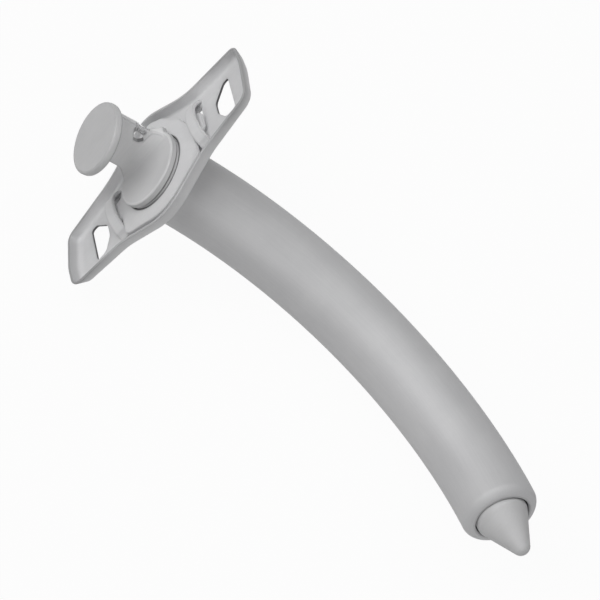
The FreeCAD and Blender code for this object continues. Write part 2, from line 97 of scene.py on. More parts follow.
# ---- the metals: satin, faintly streaked along the working direction, worn at the edges
# the third colour of each metal is the dark that its painted shade and tarnish pull the surface
# towards
metals = {
    "tube_metal": {
        "dark": (0.59, 0.59, 0.6), "light": (0.69, 0.69, 0.695),
        "shadeStainColour": (0.12, 0.12, 0.125), "metallic": 0.18, "roughness": 0.6, "follows": "straight",
        "streaks": (5.0, 5.0, 0.12), "blotches": 0.14, "grain": 6.0,
        "scratches": (9.0, 9.0, 0.35), "scratchLevel": 0.69,
    },
    "plate_metal": {
        "dark": (0.77, 0.77, 0.78), "light": (0.87, 0.87, 0.875),
        "shadeStainColour": (0.12, 0.12, 0.125), "metallic": 0.12, "roughness": 0.62, "follows": "object",
        "streaks": (0.22, 4.5, 4.5), "blotches": 0.2, "grain": 7.0,
        "scratches": (0.5, 8.0, 8.0), "scratchLevel": 0.69,
    },
    "obturator_metal": {
        "dark": (0.78, 0.78, 0.785), "light": (0.9, 0.9, 0.905),
        "shadeStainColour": (0.12, 0.12, 0.125), "metallic": 0.12, "roughness": 0.64, "follows": "object",
        "streaks": (0.3, 4.0, 4.0), "blotches": 0.24, "grain": 7.0,
        "scratches": (0.6, 7.0, 7.0), "scratchLevel": 0.7,
    },
    "catch_metal": {
        "dark": (0.8, 0.8, 0.81), "light": (0.95, 0.95, 0.955),
        "shadeStainColour": (0.15, 0.15, 0.155), "metallic": 0.85, "roughness": 0.28, "follows": "object",
        "streaks": (1.5, 6.0, 6.0), "blotches": 0.6, "grain": 10.0,
        "scratches": (2.0, 12.0, 12.0), "scratchLevel": 0.68,
    },
}


def makeMetal(name, settings):
    material = bpy.data.materials.new(name)
    material.use_nodes = True
    tree = material.node_tree
    tree.nodes.clear()
    link = tree.links.new
    out = nodeAt(tree, "ShaderNodeOutputMaterial", 900, 0)
    shader = nodeAt(tree, "ShaderNodeBsdfPrincipled", 600, 0)
    shader.inputs["Metallic"].default_value = settings["metallic"]
    shader.inputs["Specular IOR Level"].default_value = 0.35
    link(shader.outputs["BSDF"], out.inputs["Surface"])

    # millimetres in the instrument's own frame
    if settings["follows"] == "straight":
        place = nodeAt(tree, "ShaderNodeAttribute", -1600, 0, attribute_name="straight")
        spot = place.outputs["Vector"]
    else:
        place = nodeAt(tree, "ShaderNodeTexCoord", -1600, 0)
        turn = nodeAt(tree, "ShaderNodeMapping", -1400, 0)
        turn.inputs["Rotation"].default_value = toTable.to_3x3().normalized().inverted().to_euler()
        turn.inputs["Scale"].default_value = (1000.0, 1000.0, 1000.0)
        link(place.outputs["Object"], turn.inputs["Vector"])
        spot = turn.outputs["Vector"]

    def noise(scale, detail, x, y):
        stretch = nodeAt(tree, "ShaderNodeMapping", x - 200, y)
        stretch.inputs["Scale"].default_value = scale
        texture = nodeAt(tree, "ShaderNodeTexNoise", x, y)
        texture.inputs["Scale"].default_value = 1.0
        texture.inputs["Detail"].default_value = detail
        link(spot, stretch.inputs["Vector"])
        link(stretch.outputs["Vector"], texture.inputs["Vector"])
        return texture.outputs["Fac"]

    def ranged(value, low, high, newLow, newHigh, x, y):
        node = nodeAt(tree, "ShaderNodeMapRange", x, y, clamp=True)
        node.inputs["From Min"].default_value = low
        node.inputs["From Max"].default_value = high
        node.inputs["To Min"].default_value = newLow
        node.inputs["To Max"].default_value = newHigh
        link(value, node.inputs["Value"])
        return node.outputs["Result"]

    def added(first, second, x, y):
        node = nodeAt(tree, "ShaderNodeMath", x, y, operation="ADD")
        link(first, node.inputs[0])
        link(second, node.inputs[1])
        return node.outputs[0]

    blotches = noise((settings["blotches"],) * 3, 3.0, -1000, 400)
    streaks = noise(settings["streaks"], 4.0, -1000, 150)
    grain = noise((settings["grain"],) * 3, 2.0, -1000, -100)
    scratches = noise(settings["scratches"], 1.0, -1000, -350)
    level = settings["scratchLevel"]
    scratches = ranged(scratches, level, level + 0.03, 0.0, 1.0, -800, -350)
    wear = nodeAt(tree, "ShaderNodeAttribute", -1000, -600, attribute_name="wear").outputs["Fac"]

    # paler where the streaks, the worn edges and the scratches are, darker between them
    tone = added(ranged(blotches, 0.3, 0.7, 0.05, 0.5, -600, 400),
                 ranged(streaks, 0.3, 0.7, 0.0, 0.3, -600, 200), -400, 300)
    tone = added(tone, ranged(wear, 0.0, 1.0, 0.0, 0.15, -600, 0), -250, 300)
    tone = added(tone, ranged(scratches, 0.0, 1.0, 0.0, 0.25, -600, -150), -100, 300)
    paint = nodeAt(tree, "ShaderNodeMix", 150, 300, data_type="RGBA")
    paint.inputs[6].default_value = (*settings["dark"], 1.0)
    paint.inputs[7].default_value = (*settings["light"], 1.0)
    link(tone, paint.inputs[0])
    # painted shade: a per-point attribute pulls the colour towards the dark colour in hollows, on
    # walls, under parts and along tight edges, besides an even tarnish on the nose
    shadeAndTarnish = nodeAt(tree, "ShaderNodeAttribute", 150, 600, attribute_name="shadeAndTarnish")
    shadedAndStained = nodeAt(tree, "ShaderNodeMix", 350, 300, data_type="RGBA")
    shadedAndStained.inputs[7].default_value = (*settings["shadeStainColour"], 1.0)
    link(shadeAndTarnish.outputs["Fac"], shadedAndStained.inputs[0])
    link(paint.outputs[2], shadedAndStained.inputs[6])
    link(shadedAndStained.outputs[2], shader.inputs["Base Color"])

    base = settings["roughness"]
    polish = added(ranged(streaks, 0.3, 0.7, base - 0.05, base + 0.05, -600, -300),
                   ranged(blotches, 0.3, 0.7, -0.04, 0.04, -600, -450), -400, -350)
    polish = added(polish, ranged(wear, 0.0, 1.0, 0.0, -0.06, -600, -600), -250, -350)
    polish = added(polish, ranged(grain, 0.3, 0.7, -0.03, 0.03, -600, -750), -100, -350)
    link(polish, shader.inputs["Roughness"])

    fine = nodeAt(tree, "ShaderNodeBump", 100, -500)
    fine.inputs["Strength"].default_value = 0.25
    fine.inputs["Distance"].default_value = 0.00001
    link(grain, fine.inputs["Height"])
    drawn = nodeAt(tree, "ShaderNodeBump", 300, -500)
    drawn.inputs["Strength"].default_value = 0.2
    drawn.inputs["Distance"].default_value = 0.00002
    link(added(streaks, ranged(scratches, 0.0, 1.0, 0.0, -0.3, -600, -900), 100, -700),
         drawn.inputs["Height"])
    link(fine.outputs["Normal"], drawn.inputs["Normal"])
    link(drawn.outputs["Normal"], shader.inputs["Normal"])
    return material


makeCamera()
print("camera placed")

for slotName, settings in metals.items():
    settings["material"] = makeMetal(slotName, settings)


# ---- shared shape tools, all in millimetres and in the instrument's own frame
def cornerArc(before, point, after, radius):
    # the centre of a corner's rounding, the spoke to its start and the angle it turns
    back = (before - point).normalized()
    ahead = (after - point).normalized()
    half = math.acos(max(-1.0, min(1.0, back.dot(ahead)))) / 2
    reach = radius / math.tan(half)
    centre = point + (back + ahead).normalized() * (radius / math.sin(half))
    first = point + back * reach - centre
    last = point + ahead * reach - centre
    sweep = math.atan2(first.x * last.y - first.y * last.x, first.dot(last))
    return centre, first, sweep


def arcPoints(centre, first, sweep, steps):
    points = []
    for k in range(steps + 1):
        turn = sweep * k / steps
        points.append(centre + Vector((first.x * math.cos(turn) - first.y * math.sin(turn),
                                       first.x * math.sin(turn) + first.y * math.cos(turn))))
    return points


def roundedLoop(corners, step=0.35, counts=None):
    points = [Vector((x, y)) for x, y, radius in corners]
    count = len(points)
    loop = []
    for i, (x, y, radius) in enumerate(corners):
        if radius < 0.01:
            loop.append([points[i]])
            continue
        centre, first, sweep = cornerArc(points[i - 1], points[i], points[(i + 1) % count], radius)
        steps = max(4, int(abs(sweep) * radius / step) + 1, int(abs(sweep) / 0.2) + 1)
        if counts:
            steps = counts[i] - 1
        loop.append(arcPoints(centre, first, sweep, steps))
    return loop


def fillRuns(arcs, runs):
    points = []
    for i, arc in enumerate(arcs):
        points.extend(arc)
        ahead = arcs[(i + 1) % len(arcs)][0]
        for k in range(1, runs[i]):
            points.append(arc[-1].lerp(ahead, k / runs[i]))
    return points


def outlineOf(corners, step=0.35):
    arcs = roundedLoop(corners, step)
    runs = []
    for i, arc in enumerate(arcs):
        gap = (arcs[(i + 1) % len(arcs)][0] - arc[-1]).length
        runs.append(max(1, int(gap / step)))
    return anticlockwise(fillRuns(arcs, runs))


def anticlockwise(points):
    area = sum(a.x * b.y - b.x * a.y for a, b in zip(points, points[1:] + points[:1]))
    return points if area > 0 else points[::-1]


def circleOf(radius, centre=(0.0, 0.0), steps=96):
    middle = Vector(centre)
    turns = [2 * math.pi * k / steps for k in range(steps)]
    return [middle + Vector((radius * math.cos(t), radius * math.sin(t))) for t in turns]


def outward(points):
    normals = []
    count = len(points)
    for i in range(count):
        before = (points[i] - points[i - 1]).normalized()
        after = (points[(i + 1) % count] - points[i]).normalized()
        along = (before + after).normalized()
        normals.append(Vector((along.y, -along.x)))
    return normals


def inside(point, loop):
    hit = False
    x, y = point
    for a, b in zip(loop, loop[1:] + loop[:1]):
        if (a.y > y) != (b.y > y) and x < (b.x - a.x) * (y - a.y) / (b.y - a.y) + a.x:
            hit = not hit
    return hit


def addRings(bm, rings, flip=False):
    rows = [[bm.verts.new(point) for point in ring] for ring in rings]
    for low, high in zip(rows, rows[1:]):
        for i in range(len(low)):
            j = (i + 1) % len(low)
            corners = [low[i], low[j], high[j], high[i]]
            bm.faces.new(corners[::-1] if flip else corners)


def fillSheet(bm, outer, holes, heightAt, spacing=0.8):
    lowX, highX = min(p.x for p in outer), max(p.x for p in outer)
    lowY, highY = min(p.y for p in outer), max(p.y for p in outer)
    loops = [outer] + holes
    verts = []
    edges = []
    for loop in loops:
        start = len(verts)
        verts.extend(loop)
        edges.extend((start + k, start + (k + 1) % len(loop)) for k in range(len(loop)))
    clear = [(p.x, p.y) for p in verts]
    columns = int((highX - lowX) / spacing)
    rows = int((highY - lowY) / spacing)
    for i in range(1, columns):
        for j in range(1, rows):
            point = Vector((lowX + i * spacing + (j % 2) * spacing / 2, lowY + j * spacing))
            if not inside(point, outer) or any(inside(point, hole) for hole in holes):
                continue
            nearest = min((point.x - x) ** 2 + (point.y - y) ** 2 for x, y in clear)
            if nearest < (spacing * 0.45) ** 2:
                continue
            verts.append(point)
    found = geometry.delaunay_2d_cdt(verts, edges, [], 0, 1e-6)
    made = [bm.verts.new((p.x, p.y, heightAt(p.x, p.y))) for p in found[0]]
    for face in found[2]:
        middle = sum((found[0][k] for k in face), Vector((0.0, 0.0))) / len(face)
        if inside(middle, outer) and not any(inside(middle, hole) for hole in holes):
            bm.faces.new([made[k] for k in face])


def shifted(points, distance):
    return [p + n * distance for p, n in zip(points, outward(points))]


def edgeRings(points, away, topAt, bottomAt, edge, steps=4):
    normals = outward(points)
    rings = []
    for k in range(steps + 1):
        turn = math.pi / 2 * k / steps
        inset = edge * (1 - math.sin(turn))
        drop = edge * (1 - math.cos(turn))
        ring = []
        for p, n in zip(points, normals):
            q = p - n * inset * away
            ring.append(Vector((q.x, q.y, topAt(q.x, q.y) - drop)))
        rings.append(ring)
    for k in range(steps + 1):
        turn = math.pi / 2 * (1 - k / steps)
        inset = edge * (1 - math.sin(turn))
        rise = edge * (1 - math.cos(turn))
        ring = []
        for p, n in zip(points, normals):
            q = p - n * inset * away
            ring.append(Vector((q.x, q.y, bottomAt(q.x, q.y) + rise)))
        rings.append(ring)
    return rings


def roundedPlate(bm, outer, holes, topAt, bottomAt, edge, spacing=0.8):
    addRings(bm, edgeRings(outer, 1, topAt, bottomAt, edge))
    for hole in holes:
        addRings(bm, edgeRings(hole, -1, topAt, bottomAt, edge))
    inner = shifted(outer, -edge)
    grown = [shifted(hole, edge) for hole in holes]
    fillSheet(bm, inner, grown, topAt, spacing)
    fillSheet(bm, inner, grown, bottomAt, spacing)


def lathe(bm, profile, steps=96, place=None):
    rings = []
    for radius, height in profile:
        rings.append([Vector((radius * math.cos(2 * math.pi * k / steps),
                              radius * math.sin(2 * math.pi * k / steps), height))
                      for k in range(steps)])
    start = len(bm.verts)
    addRings(bm, rings)
    bm.verts.ensure_lookup_table()
    made = bm.verts[start:]
    if place is not None:
        bmesh.ops.transform(bm, matrix=place, verts=made)


def straightOn(before, point, after):
    turn = (before - point).normalized().dot((after - point).normalized())
    return math.acos(max(-1.0, min(1.0, turn))) / 2 > 1.55


def softProfile(corners, step=0.12):
    # a profile with rounded corners; its two ends stay sharp
    spots = [Vector(corner[:2]) for corner in corners]
    points = []
    for i, (x, y, radius) in enumerate(corners):
        if i in (0, len(corners) - 1) or radius < 0.001 or straightOn(*spots[i - 1:i + 2]):
            points.append(spots[i])
            continue
        centre, first, sweep = cornerArc(*spots[i - 1:i + 2], radius)
        steps = max(4, int(abs(sweep) * radius / step) + 1)
        points.extend(arcPoints(centre, first, sweep, steps))
    return points


def fixedProfile(corners, steps):
    # the same with a fixed number of points, so that neighbouring sections match
    spots = [Vector(corner[:2]) for corner in corners]
    points = [spots[0]]
    for i in range(1, len(corners) - 1):
        arc = cornerArc(*spots[i - 1:i + 2], corners[i][2])
        points.extend(arcPoints(*arc, steps))
    return points + [spots[-1]]


def divided(points, longest):
    finer = [points[0]]
    for a, b in zip(points, points[1:]):
        parts = max(1, math.ceil((b - a).length / longest))
        finer.extend(a.lerp(b, k / parts) for k in range(1, parts + 1))
    return finer


def toObject(bm, name, slotName, merge=0.002):
    bmesh.ops.remove_doubles(bm, verts=bm.verts, dist=merge)
    bmesh.ops.dissolve_degenerate(bm, edges=bm.edges, dist=merge / 2)
    bmesh.ops.recalc_face_normals(bm, faces=bm.faces)
    mesh = bpy.data.meshes.new(name)
    bm.to_mesh(mesh)
    bm.free()
    mesh.shade_smooth()
    piece = bpy.data.objects.new(name, mesh)
    bpy.context.scene.collection.objects.link(piece)
    mesh.materials.append(metals[slotName]["material"])
    return piece


# painted shade along tight edges: each worn edge gets this much of the dark colour
edgePaintedShade = 0.22


def markWear(piece, shadeAndTarnishAt):
    # wear: how sharply each edge turns outwards, from 0 on flats to 1 on tight roundings
    # the darkening attribute: painted shade in hollows, on walls and under parts, by the piece's
    # own rule, an even tarnish on the nose, and a little painted shade on every tight edge, which
    # then shows as a thin darker line
    mesh = piece.data
    bm = bmesh.new()
    bm.from_mesh(mesh)
    sharpness = [0.0] * len(bm.verts)
    for edge in bm.edges:
        if len(edge.link_faces) != 2:
            continue
        first, last = (face.calc_center_median() for face in edge.link_faces)
        turn = edge.calc_face_angle_signed(0.0) / max((first - last).length, 0.02)
        for vert in edge.verts:
            sharpness[vert.index] = max(sharpness[vert.index], turn)
    for k in range(2):
        blurred = []
        for vert in bm.verts:
            near = [sharpness[edge.other_vert(vert).index] for edge in vert.link_edges]
            blurred.append((sharpness[vert.index] + sum(near)) / (len(near) + 1))
        sharpness = blurred
    bm.free()
    worn = [min(1.0, max(0.0, (s - 0.8) / 3.2)) for s in sharpness]
    wear = mesh.attributes.new("wear", "FLOAT", "POINT")
    wear.data.foreach_set("value", worn)
    dark = [min(1.0, (shadeAndTarnishAt(vert.co) if shadeAndTarnishAt else 0.0) + edgePaintedShade * share)
            for vert, share in zip(mesh.vertices, worn)]
    shadeAndTarnish = mesh.attributes.new("shadeAndTarnish", "FLOAT", "POINT")
    shadeAndTarnish.data.foreach_set("value", dark)


def ramp(value, low, high):
    share = min(1.0, max(0.0, (value - low) / (high - low)))
    return share * share * (3 - 2 * share)


def faceOutward(mesh):
    bm = bmesh.new()
    bm.from_mesh(mesh)
    inward = bm.calc_volume(signed=True) < 0
    bm.free()
    if inward:
        mesh.flip_normals()


def finish(piece, body, slotName, *nodes, shadeAndTarnishAt=None):
    markWear(piece, shadeAndTarnishAt)
    faceOutward(piece.data)
    piece.data.transform(toTable)
    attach(piece, body)
    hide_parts(*nodes)
    print(piece.name, "made,", len(piece.data.polygons), "faces")
    return piece


def bakeModifiers(piece):
    graph = bpy.context.evaluated_depsgraph_get()
    baked = bpy.data.meshes.new_from_object(piece.evaluated_get(graph))
    piece.modifiers.clear()
    old = piece.data
    piece.data = baked
    baked.name = piece.name
    bpy.data.meshes.remove(old)
    return piece


# ---- the bent tube and the rod inside it
bend = {"radius": 58.4, "angle": 76.8}


def bendTree(material):
    tree = bpy.data.node_groups.new("bendAlongArc", "GeometryNodeTree")
    face = tree.interface
    face.new_socket("Geometry", in_out="INPUT", socket_type="NodeSocketGeometry")
    face.new_socket("Bend Radius", in_out="INPUT", socket_type="NodeSocketFloat")
    face.new_socket("Geometry", in_out="OUTPUT", socket_type="NodeSocketGeometry")
    link = tree.links.new
    enter = nodeAt(tree, "NodeGroupInput", -1000, 0)
    leave = nodeAt(tree, "NodeGroupOutput", 900, 0)
    place = nodeAt(tree, "GeometryNodeInputPosition", -1000, -200)
    store = nodeAt(tree, "GeometryNodeStoreNamedAttribute", -700, 100, data_type="FLOAT_VECTOR")
    store.inputs["Name"].default_value = "straight"
    link(enter.outputs[0], store.inputs["Geometry"])
    link(place.outputs[0], store.inputs["Value"])
    parts = nodeAt(tree, "ShaderNodeSeparateXYZ", -800, -200)
    link(place.outputs[0], parts.inputs[0])

    def maths(operation, first, second, x, y):
        node = nodeAt(tree, "ShaderNodeMath", x, y, operation=operation)
        for socket, value in zip(node.inputs, (first, second)):
            if value is None:
                continue
            if isinstance(value, (int, float)):
                socket.default_value = value
            else:
                link(value, socket)
        return node.outputs[0]

    radius = enter.outputs[1]
    below = maths("MINIMUM", parts.outputs["Z"], 0.0, -600, -300)
    above = maths("MAXIMUM", parts.outputs["Z"], 0.0, -600, -450)
    turn = maths("DIVIDE", below, radius, -450, -300)
    reach = maths("ADD", parts.outputs["Y"], radius, -450, -150)
    across = maths("MULTIPLY", reach, maths("COSINE", turn, None, -300, -250), -150, -200)
    newY = maths("SUBTRACT", across, radius, 0, -200)
    down = maths("MULTIPLY", reach, maths("SINE", turn, None, -300, -400), -150, -350)
    newZ = maths("ADD", down, above, 0, -350)
    joined = nodeAt(tree, "ShaderNodeCombineXYZ", 150, -250)
    link(parts.outputs["X"], joined.inputs["X"])
    link(newY, joined.inputs["Y"])
    link(newZ, joined.inputs["Z"])
    move = nodeAt(tree, "GeometryNodeSetPosition", 300, 0)
    link(store.outputs["Geometry"], move.inputs["Geometry"])
    link(joined.outputs[0], move.inputs["Position"])
    real = nodeAt(tree, "GeometryNodeRealizeInstances", 500, 0)
    link(move.outputs[0], real.inputs[0])
    paint = nodeAt(tree, "GeometryNodeSetMaterial", 700, 0)
    paint.inputs["Material"].default_value = material
    link(real.outputs[0], paint.inputs["Geometry"])
    link(paint.outputs[0], leave.inputs[0])
    return tree


def bendPiece(piece, slotName):
    tree = bendTree(metals[slotName]["material"])
    modifier = piece.modifiers.new("bend", "NODES")
    modifier.node_group = tree
    socket = next(item for item in tree.interface.items_tree if item.name == "Bend Radius")
    modifier[socket.identifier] = bend["radius"]
    bakeModifiers(piece)
    piece.data.shade_smooth()
    return piece


tube = {
    "radius": 6.0,
    "wall": 0.65,
    "rim": 1.78,
    "endWall": 0.9,
    "endRounding": 1.6,
    "opening": 4.3,
    "rimRounding": 0.2,
    "steps": 144,
}


def makeTube():
    length = bend["radius"] * math.radians(bend["angle"])
    bore = tube["radius"] - tube["wall"]
    soft = tube["rimRounding"]
    corners = [
        (bore, -length / 2, 0),
        (bore, tube["rim"], soft),
        (tube["radius"], tube["rim"], soft),
        (tube["radius"], -length, tube["endRounding"]),
        (tube["opening"], -length, 0.15),
        (tube["opening"], -length + tube["endWall"], 0.15),
        (bore, -length + tube["endWall"], 0.3),
        (bore, -length / 2, 0),
    ]
    bm = bmesh.new()
    lathe(bm, divided(softProfile(corners), 0.6), tube["steps"])
    piece = toObject(bm, "outerTube", "tube_metal")
    bendPiece(piece, "tube_metal")
    return finish(piece, "tube", "tube_metal", "outer_tube")


rod = {"radius": 1.7, "top": 0.4, "endAngle": 75.8, "steps": 48}


def makeRod():
    length = bend["radius"] * math.radians(rod["endAngle"])
    corners = [(0.001, rod["top"], 0), (rod["radius"], rod["top"], 0),
               (rod["radius"], -length, 0), (0.001, -length, 0)]
    bm = bmesh.new()
    lathe(bm, divided(softProfile(corners), 0.8), rod["steps"])
    piece = toObject(bm, "obturatorRod", "obturator_metal")
    bendPiece(piece, "obturator_metal")
    return finish(piece, "obturator", "obturator_metal", "obturator_rod")


# ---- the bullet nose
nose = {
    "radius": 4.08,
    "back": 2.0,
    "length": 7.0,
    "tilt": 9.0,
    "round": 1.3,
    "bevel": 0.5,
    "shoulder": 0.2,
    "shadeAndTarnish": 0.3,
    "steps": 96,
}


def bendPoint(angle):
    turn = math.radians(angle)
    return Vector((0, -bend["radius"] * (1 - math.cos(turn)), -bend["radius"] * math.sin(turn)))


def makeNose():
    turn = math.radians(bend["angle"] - nose["tilt"])
    along = Vector((0, -math.sin(turn), -math.cos(turn)))
    start = bendPoint(bend["angle"]) - along * nose["back"]
    total = nose["back"] + nose["length"]
    shoulder = nose["back"] + nose["shoulder"]
    corners = [
        (0.001, 0, 0),
        (nose["radius"], 0, nose["bevel"]),
        (nose["radius"], shoulder, 1.5),
        (nose["round"] * 0.72, total, nose["round"]),
        (0.001, total, 0),
    ]
    bm = bmesh.new()
    turned = along.to_track_quat("Z", "X").to_matrix().to_4x4()
    place = Matrix.Translation(start) @ turned
    lathe(bm, divided(softProfile(corners), 0.25), nose["steps"], place)
    piece = toObject(bm, "obturatorTip", "obturator_metal")
    return finish(piece, "obturator", "obturator_metal", "obturator_tip",
                  shadeAndTarnishAt=lambda spot: nose["shadeAndTarnish"])


# ---- the pressed neck plate
plate = {
    "sheet": 0.52,
    "floor": -0.44,
    "lip": 1.33,
    "flare": 0.9,
    "hole": 6.45,
    "footRounding": 0.75,
    "lipRounding": 0.22,
    "sideFillet": 0.45,
    "endFillet": 1.2,
    "slotEdge": 17.05,
    "slotDepth": 3.6,
    "slotLength": 7.4,
    "slotLift": 0.3,
    "centre": 1.7,
    "strapCentre": 10.05,
    "strapWidth": 2.0,
    "strapRise": 2.6,
    "strapSpan": 5.5,
    "window": (9.3, 10.6, 3.4, 5.6),  # inner and outer edge, foot and head
    "edge": 0.13,
    # painted shade on the punched slots' walls and on the lip walls, more towards the wings
    "slotPaintedShade": 0.8,
    "lipPaintedShade": (0.15, 0.35),  # at the middle and at the wings
    # at the top of the lip, clockwise: x, y, rounding, share of the flare along x and y
    "corners": [
        (0.0, 14.05, 6.0, 0.0, 0.4),
        (9.4, 9.05, 14.0, 0.0, 0.4),
        (21.4, 7.85, 1.5, 1.0, 0.5),
        (21.8, 3.2, 10.0, 1.0, 0.0),
        (21.15, -4.9, 2.4, 1.0, -1.7),
        (10.4, -6.2, 10.0, 0.0, -1.1),
        (0.0, -10.9, 9.0, 0.0, -1.0),
        (-10.4, -6.2, 10.0, 0.0, -1.1),
        (-21.85, -4.75, 2.4, -1.0, -1.7),
        (-22.0, 0.3, 8.0, -1.0, 0.0),
        (-20.75, 6.95, 1.9, -1.0, 0.5),
        (-9.4, 9.05, 14.0, 0.0, 0.4),
    ],
    # a slot's corners as shares of its depth and half length, with their rounding
    "slot": [(0.0, 1.0, 0.5), (0.0, -1.0, 0.6), (0.6, -1.0, 1.2),
             (1.0, -0.35, 1.6), (1.0, 0.35, 1.6), (0.35, 1.0, 0.8)],
}


def plateCorners(level):
    lean = plate["flare"] * (level - 1)
    return [(x + lean * shareX, y + lean * shareY, radius)
            for x, y, radius, shareX, shareY in plate["corners"]]


def matchedLoops(step=0.4):
    high = roundedLoop(plateCorners(1.0), step)
    low = roundedLoop(plateCorners(0.0), step, [len(arc) for arc in high])
    runs = []
    for i in range(len(high)):
        gap = (high[(i + 1) % len(high)][0] - high[i][-1]).length
        runs.append(max(2, int(gap / step)))
    return fillRuns(low, runs)[::-1], fillRuns(high, runs)[::-1]


def makeNeckPlate():
    foot = plate["floor"] - plate["sheet"]
    tall = plate["lip"] - foot
    low, high = matchedLoops()
    normals = outward(low)
    sections = []
    for p, q, n in zip(low, high, normals):
        spread = (q - p).dot(n)
        side = Vector((-n.y, n.x))
        slide = (q - p).dot(side)
        share = min(1.0, max(0.0, (abs(p.x) - 17.5) / 2.0))
        share = share * share * (3 - 2 * share)
        fillet = plate["sideFillet"] + (plate["endFillet"] - plate["sideFillet"]) * share
        floorHeight = (plate["floor"] - foot) / tall
        start = spread * floorHeight - plate["sheet"] - fillet * 0.75 - 0.08
        corners = [
            (start, plate["floor"], 0),
            (spread * floorHeight - plate["sheet"], plate["floor"], fillet),
            (spread - plate["sheet"], plate["lip"], plate["lipRounding"]),
            (spread, plate["lip"], plate["lipRounding"]),
            (0.0, foot, plate["footRounding"]),
            (start, foot, 0),
        ]
        section = []
        for out, height in fixedProfile(corners, 6):
            level = (height - foot) / tall
            spot = p + n * out + side * slide * level
            section.append(Vector((spot.x, spot.y, height)))
        sections.append(section)
    rings = [[section[k] for section in sections] for k in range(len(sections[0]))]
    bm = bmesh.new()
    addRings(bm, rings)
    topLoop = [Vector(v[:2]) for v in rings[0]]
    lowLoop = [Vector(v[:2]) for v in rings[-1]]

    holes = [circleOf(plate["hole"])]
    middle = plate["centre"] + plate["slotLift"]
    halfSlot = plate["slotLength"] / 2
    near, far, windowFoot, windowHead = plate["window"]
    for side in (-1, 1):
        holes.append(outlineOf([
            (side * (plate["slotEdge"] - across * plate["slotDepth"]),
             middle + along * plate["slotLength"] / 2, radius)
            for across, along, radius in plate["slot"]
        ], 0.25))
        holes.append(outlineOf([
            (side * near, windowFoot, 0.2),
            (side * far, windowFoot, 0.2),
            (side * far, windowHead, 0.2),
            (side * near, windowHead, 0.2),
        ], 0.25))

    def topAt(x, y):
        return plate["floor"]

    def lowAt(x, y):
        return foot

    for hole in holes:
        addRings(bm, edgeRings(hole, -1, topAt, lowAt, plate["edge"]))
    grown = [shifted(hole, plate["edge"]) for hole in holes]
    fillSheet(bm, topLoop, grown, topAt, 0.9)
    fillSheet(bm, lowLoop, grown, lowAt, 0.9)

    rise = plate["strapRise"]
    span = plate["strapSpan"]
    bow = (span ** 2 + rise ** 2) / (2 * rise)
    crown = plate["floor"] + rise
    sweep = math.asin(span / bow)
    half = plate["strapWidth"] / 2
    thick = plate["sheet"]
    for side in (-1, 1):
        rings = []
        for k in range(-24, 25):
            turn = sweep * k / 24 * 0.985
            spot = Vector((0, plate["centre"] + bow * math.sin(turn),
                           crown - bow + bow * math.cos(turn)))
            inward = Vector((0, -math.sin(turn), -math.cos(turn)))
            ring = []
            for x, y in outlineOf([(-half, 0, 0.14), (half, 0, 0.14), (half, thick, 0.14),
                                   (-half, thick, 0.14)], 0.25):
                ring.append(spot + inward * y + Vector((side * plate["strapCentre"] + x, 0, 0)))
            rings.append(ring)
        addRings(bm, rings)
        for ring in (rings[0], rings[-1]):
            bm.faces.new([bm.verts.new(v) for v in ring])
    piece = toObject(bm, "neckPlate", "plate_metal", 0.001)

    def paintedWallShade(spot):
        # painted shade: the slot walls go dark, and the lip walls darken, more towards the wing
        # ends
        inWall = foot + 0.09 < spot.z < plate["floor"] - 0.09
        slotStart = plate["slotEdge"] - plate["slotDepth"]
        atSlot = slotStart - 0.2 < abs(spot.x) < plate["slotEdge"] + 0.1
        if inWall and atSlot and abs(spot.y - middle) < halfSlot + 0.05:
            return plate["slotPaintedShade"]
        aside = max(abs(spot.y - plate["centre"]) - 4.5, abs(spot.x) - 19.5)
        onWall = ramp(spot.z, plate["floor"] + 0.2, plate["floor"] + 0.9)
        middleShare, wingShare = plate["lipPaintedShade"]
        share = middleShare + (wingShare - middleShare) * ramp(abs(spot.x), 11.0, 18.0)
        return share * onWall if aside > 0 else 0.0

    return finish(piece, "neck", "plate_metal", "neck_plate", shadeAndTarnishAt=paintedWallShade)


# ---- the collar plate
collar = {
    "bottom": 0.25,
    "thick": 0.65,
    "side": 8.9,
    "peak": 12.5,
    "ear": (-1.0, 3.2),
    "earReach": 11.3,
    "hole": 6.02,
    "seatTop": 1.5,
    "seatInner": 6.1,
    "seatRadius": 9.2,
    "edge": 0.16,
    # painted shade: a dark patch round the catch post's foot
    "postPaintedShade": 0.75,
}


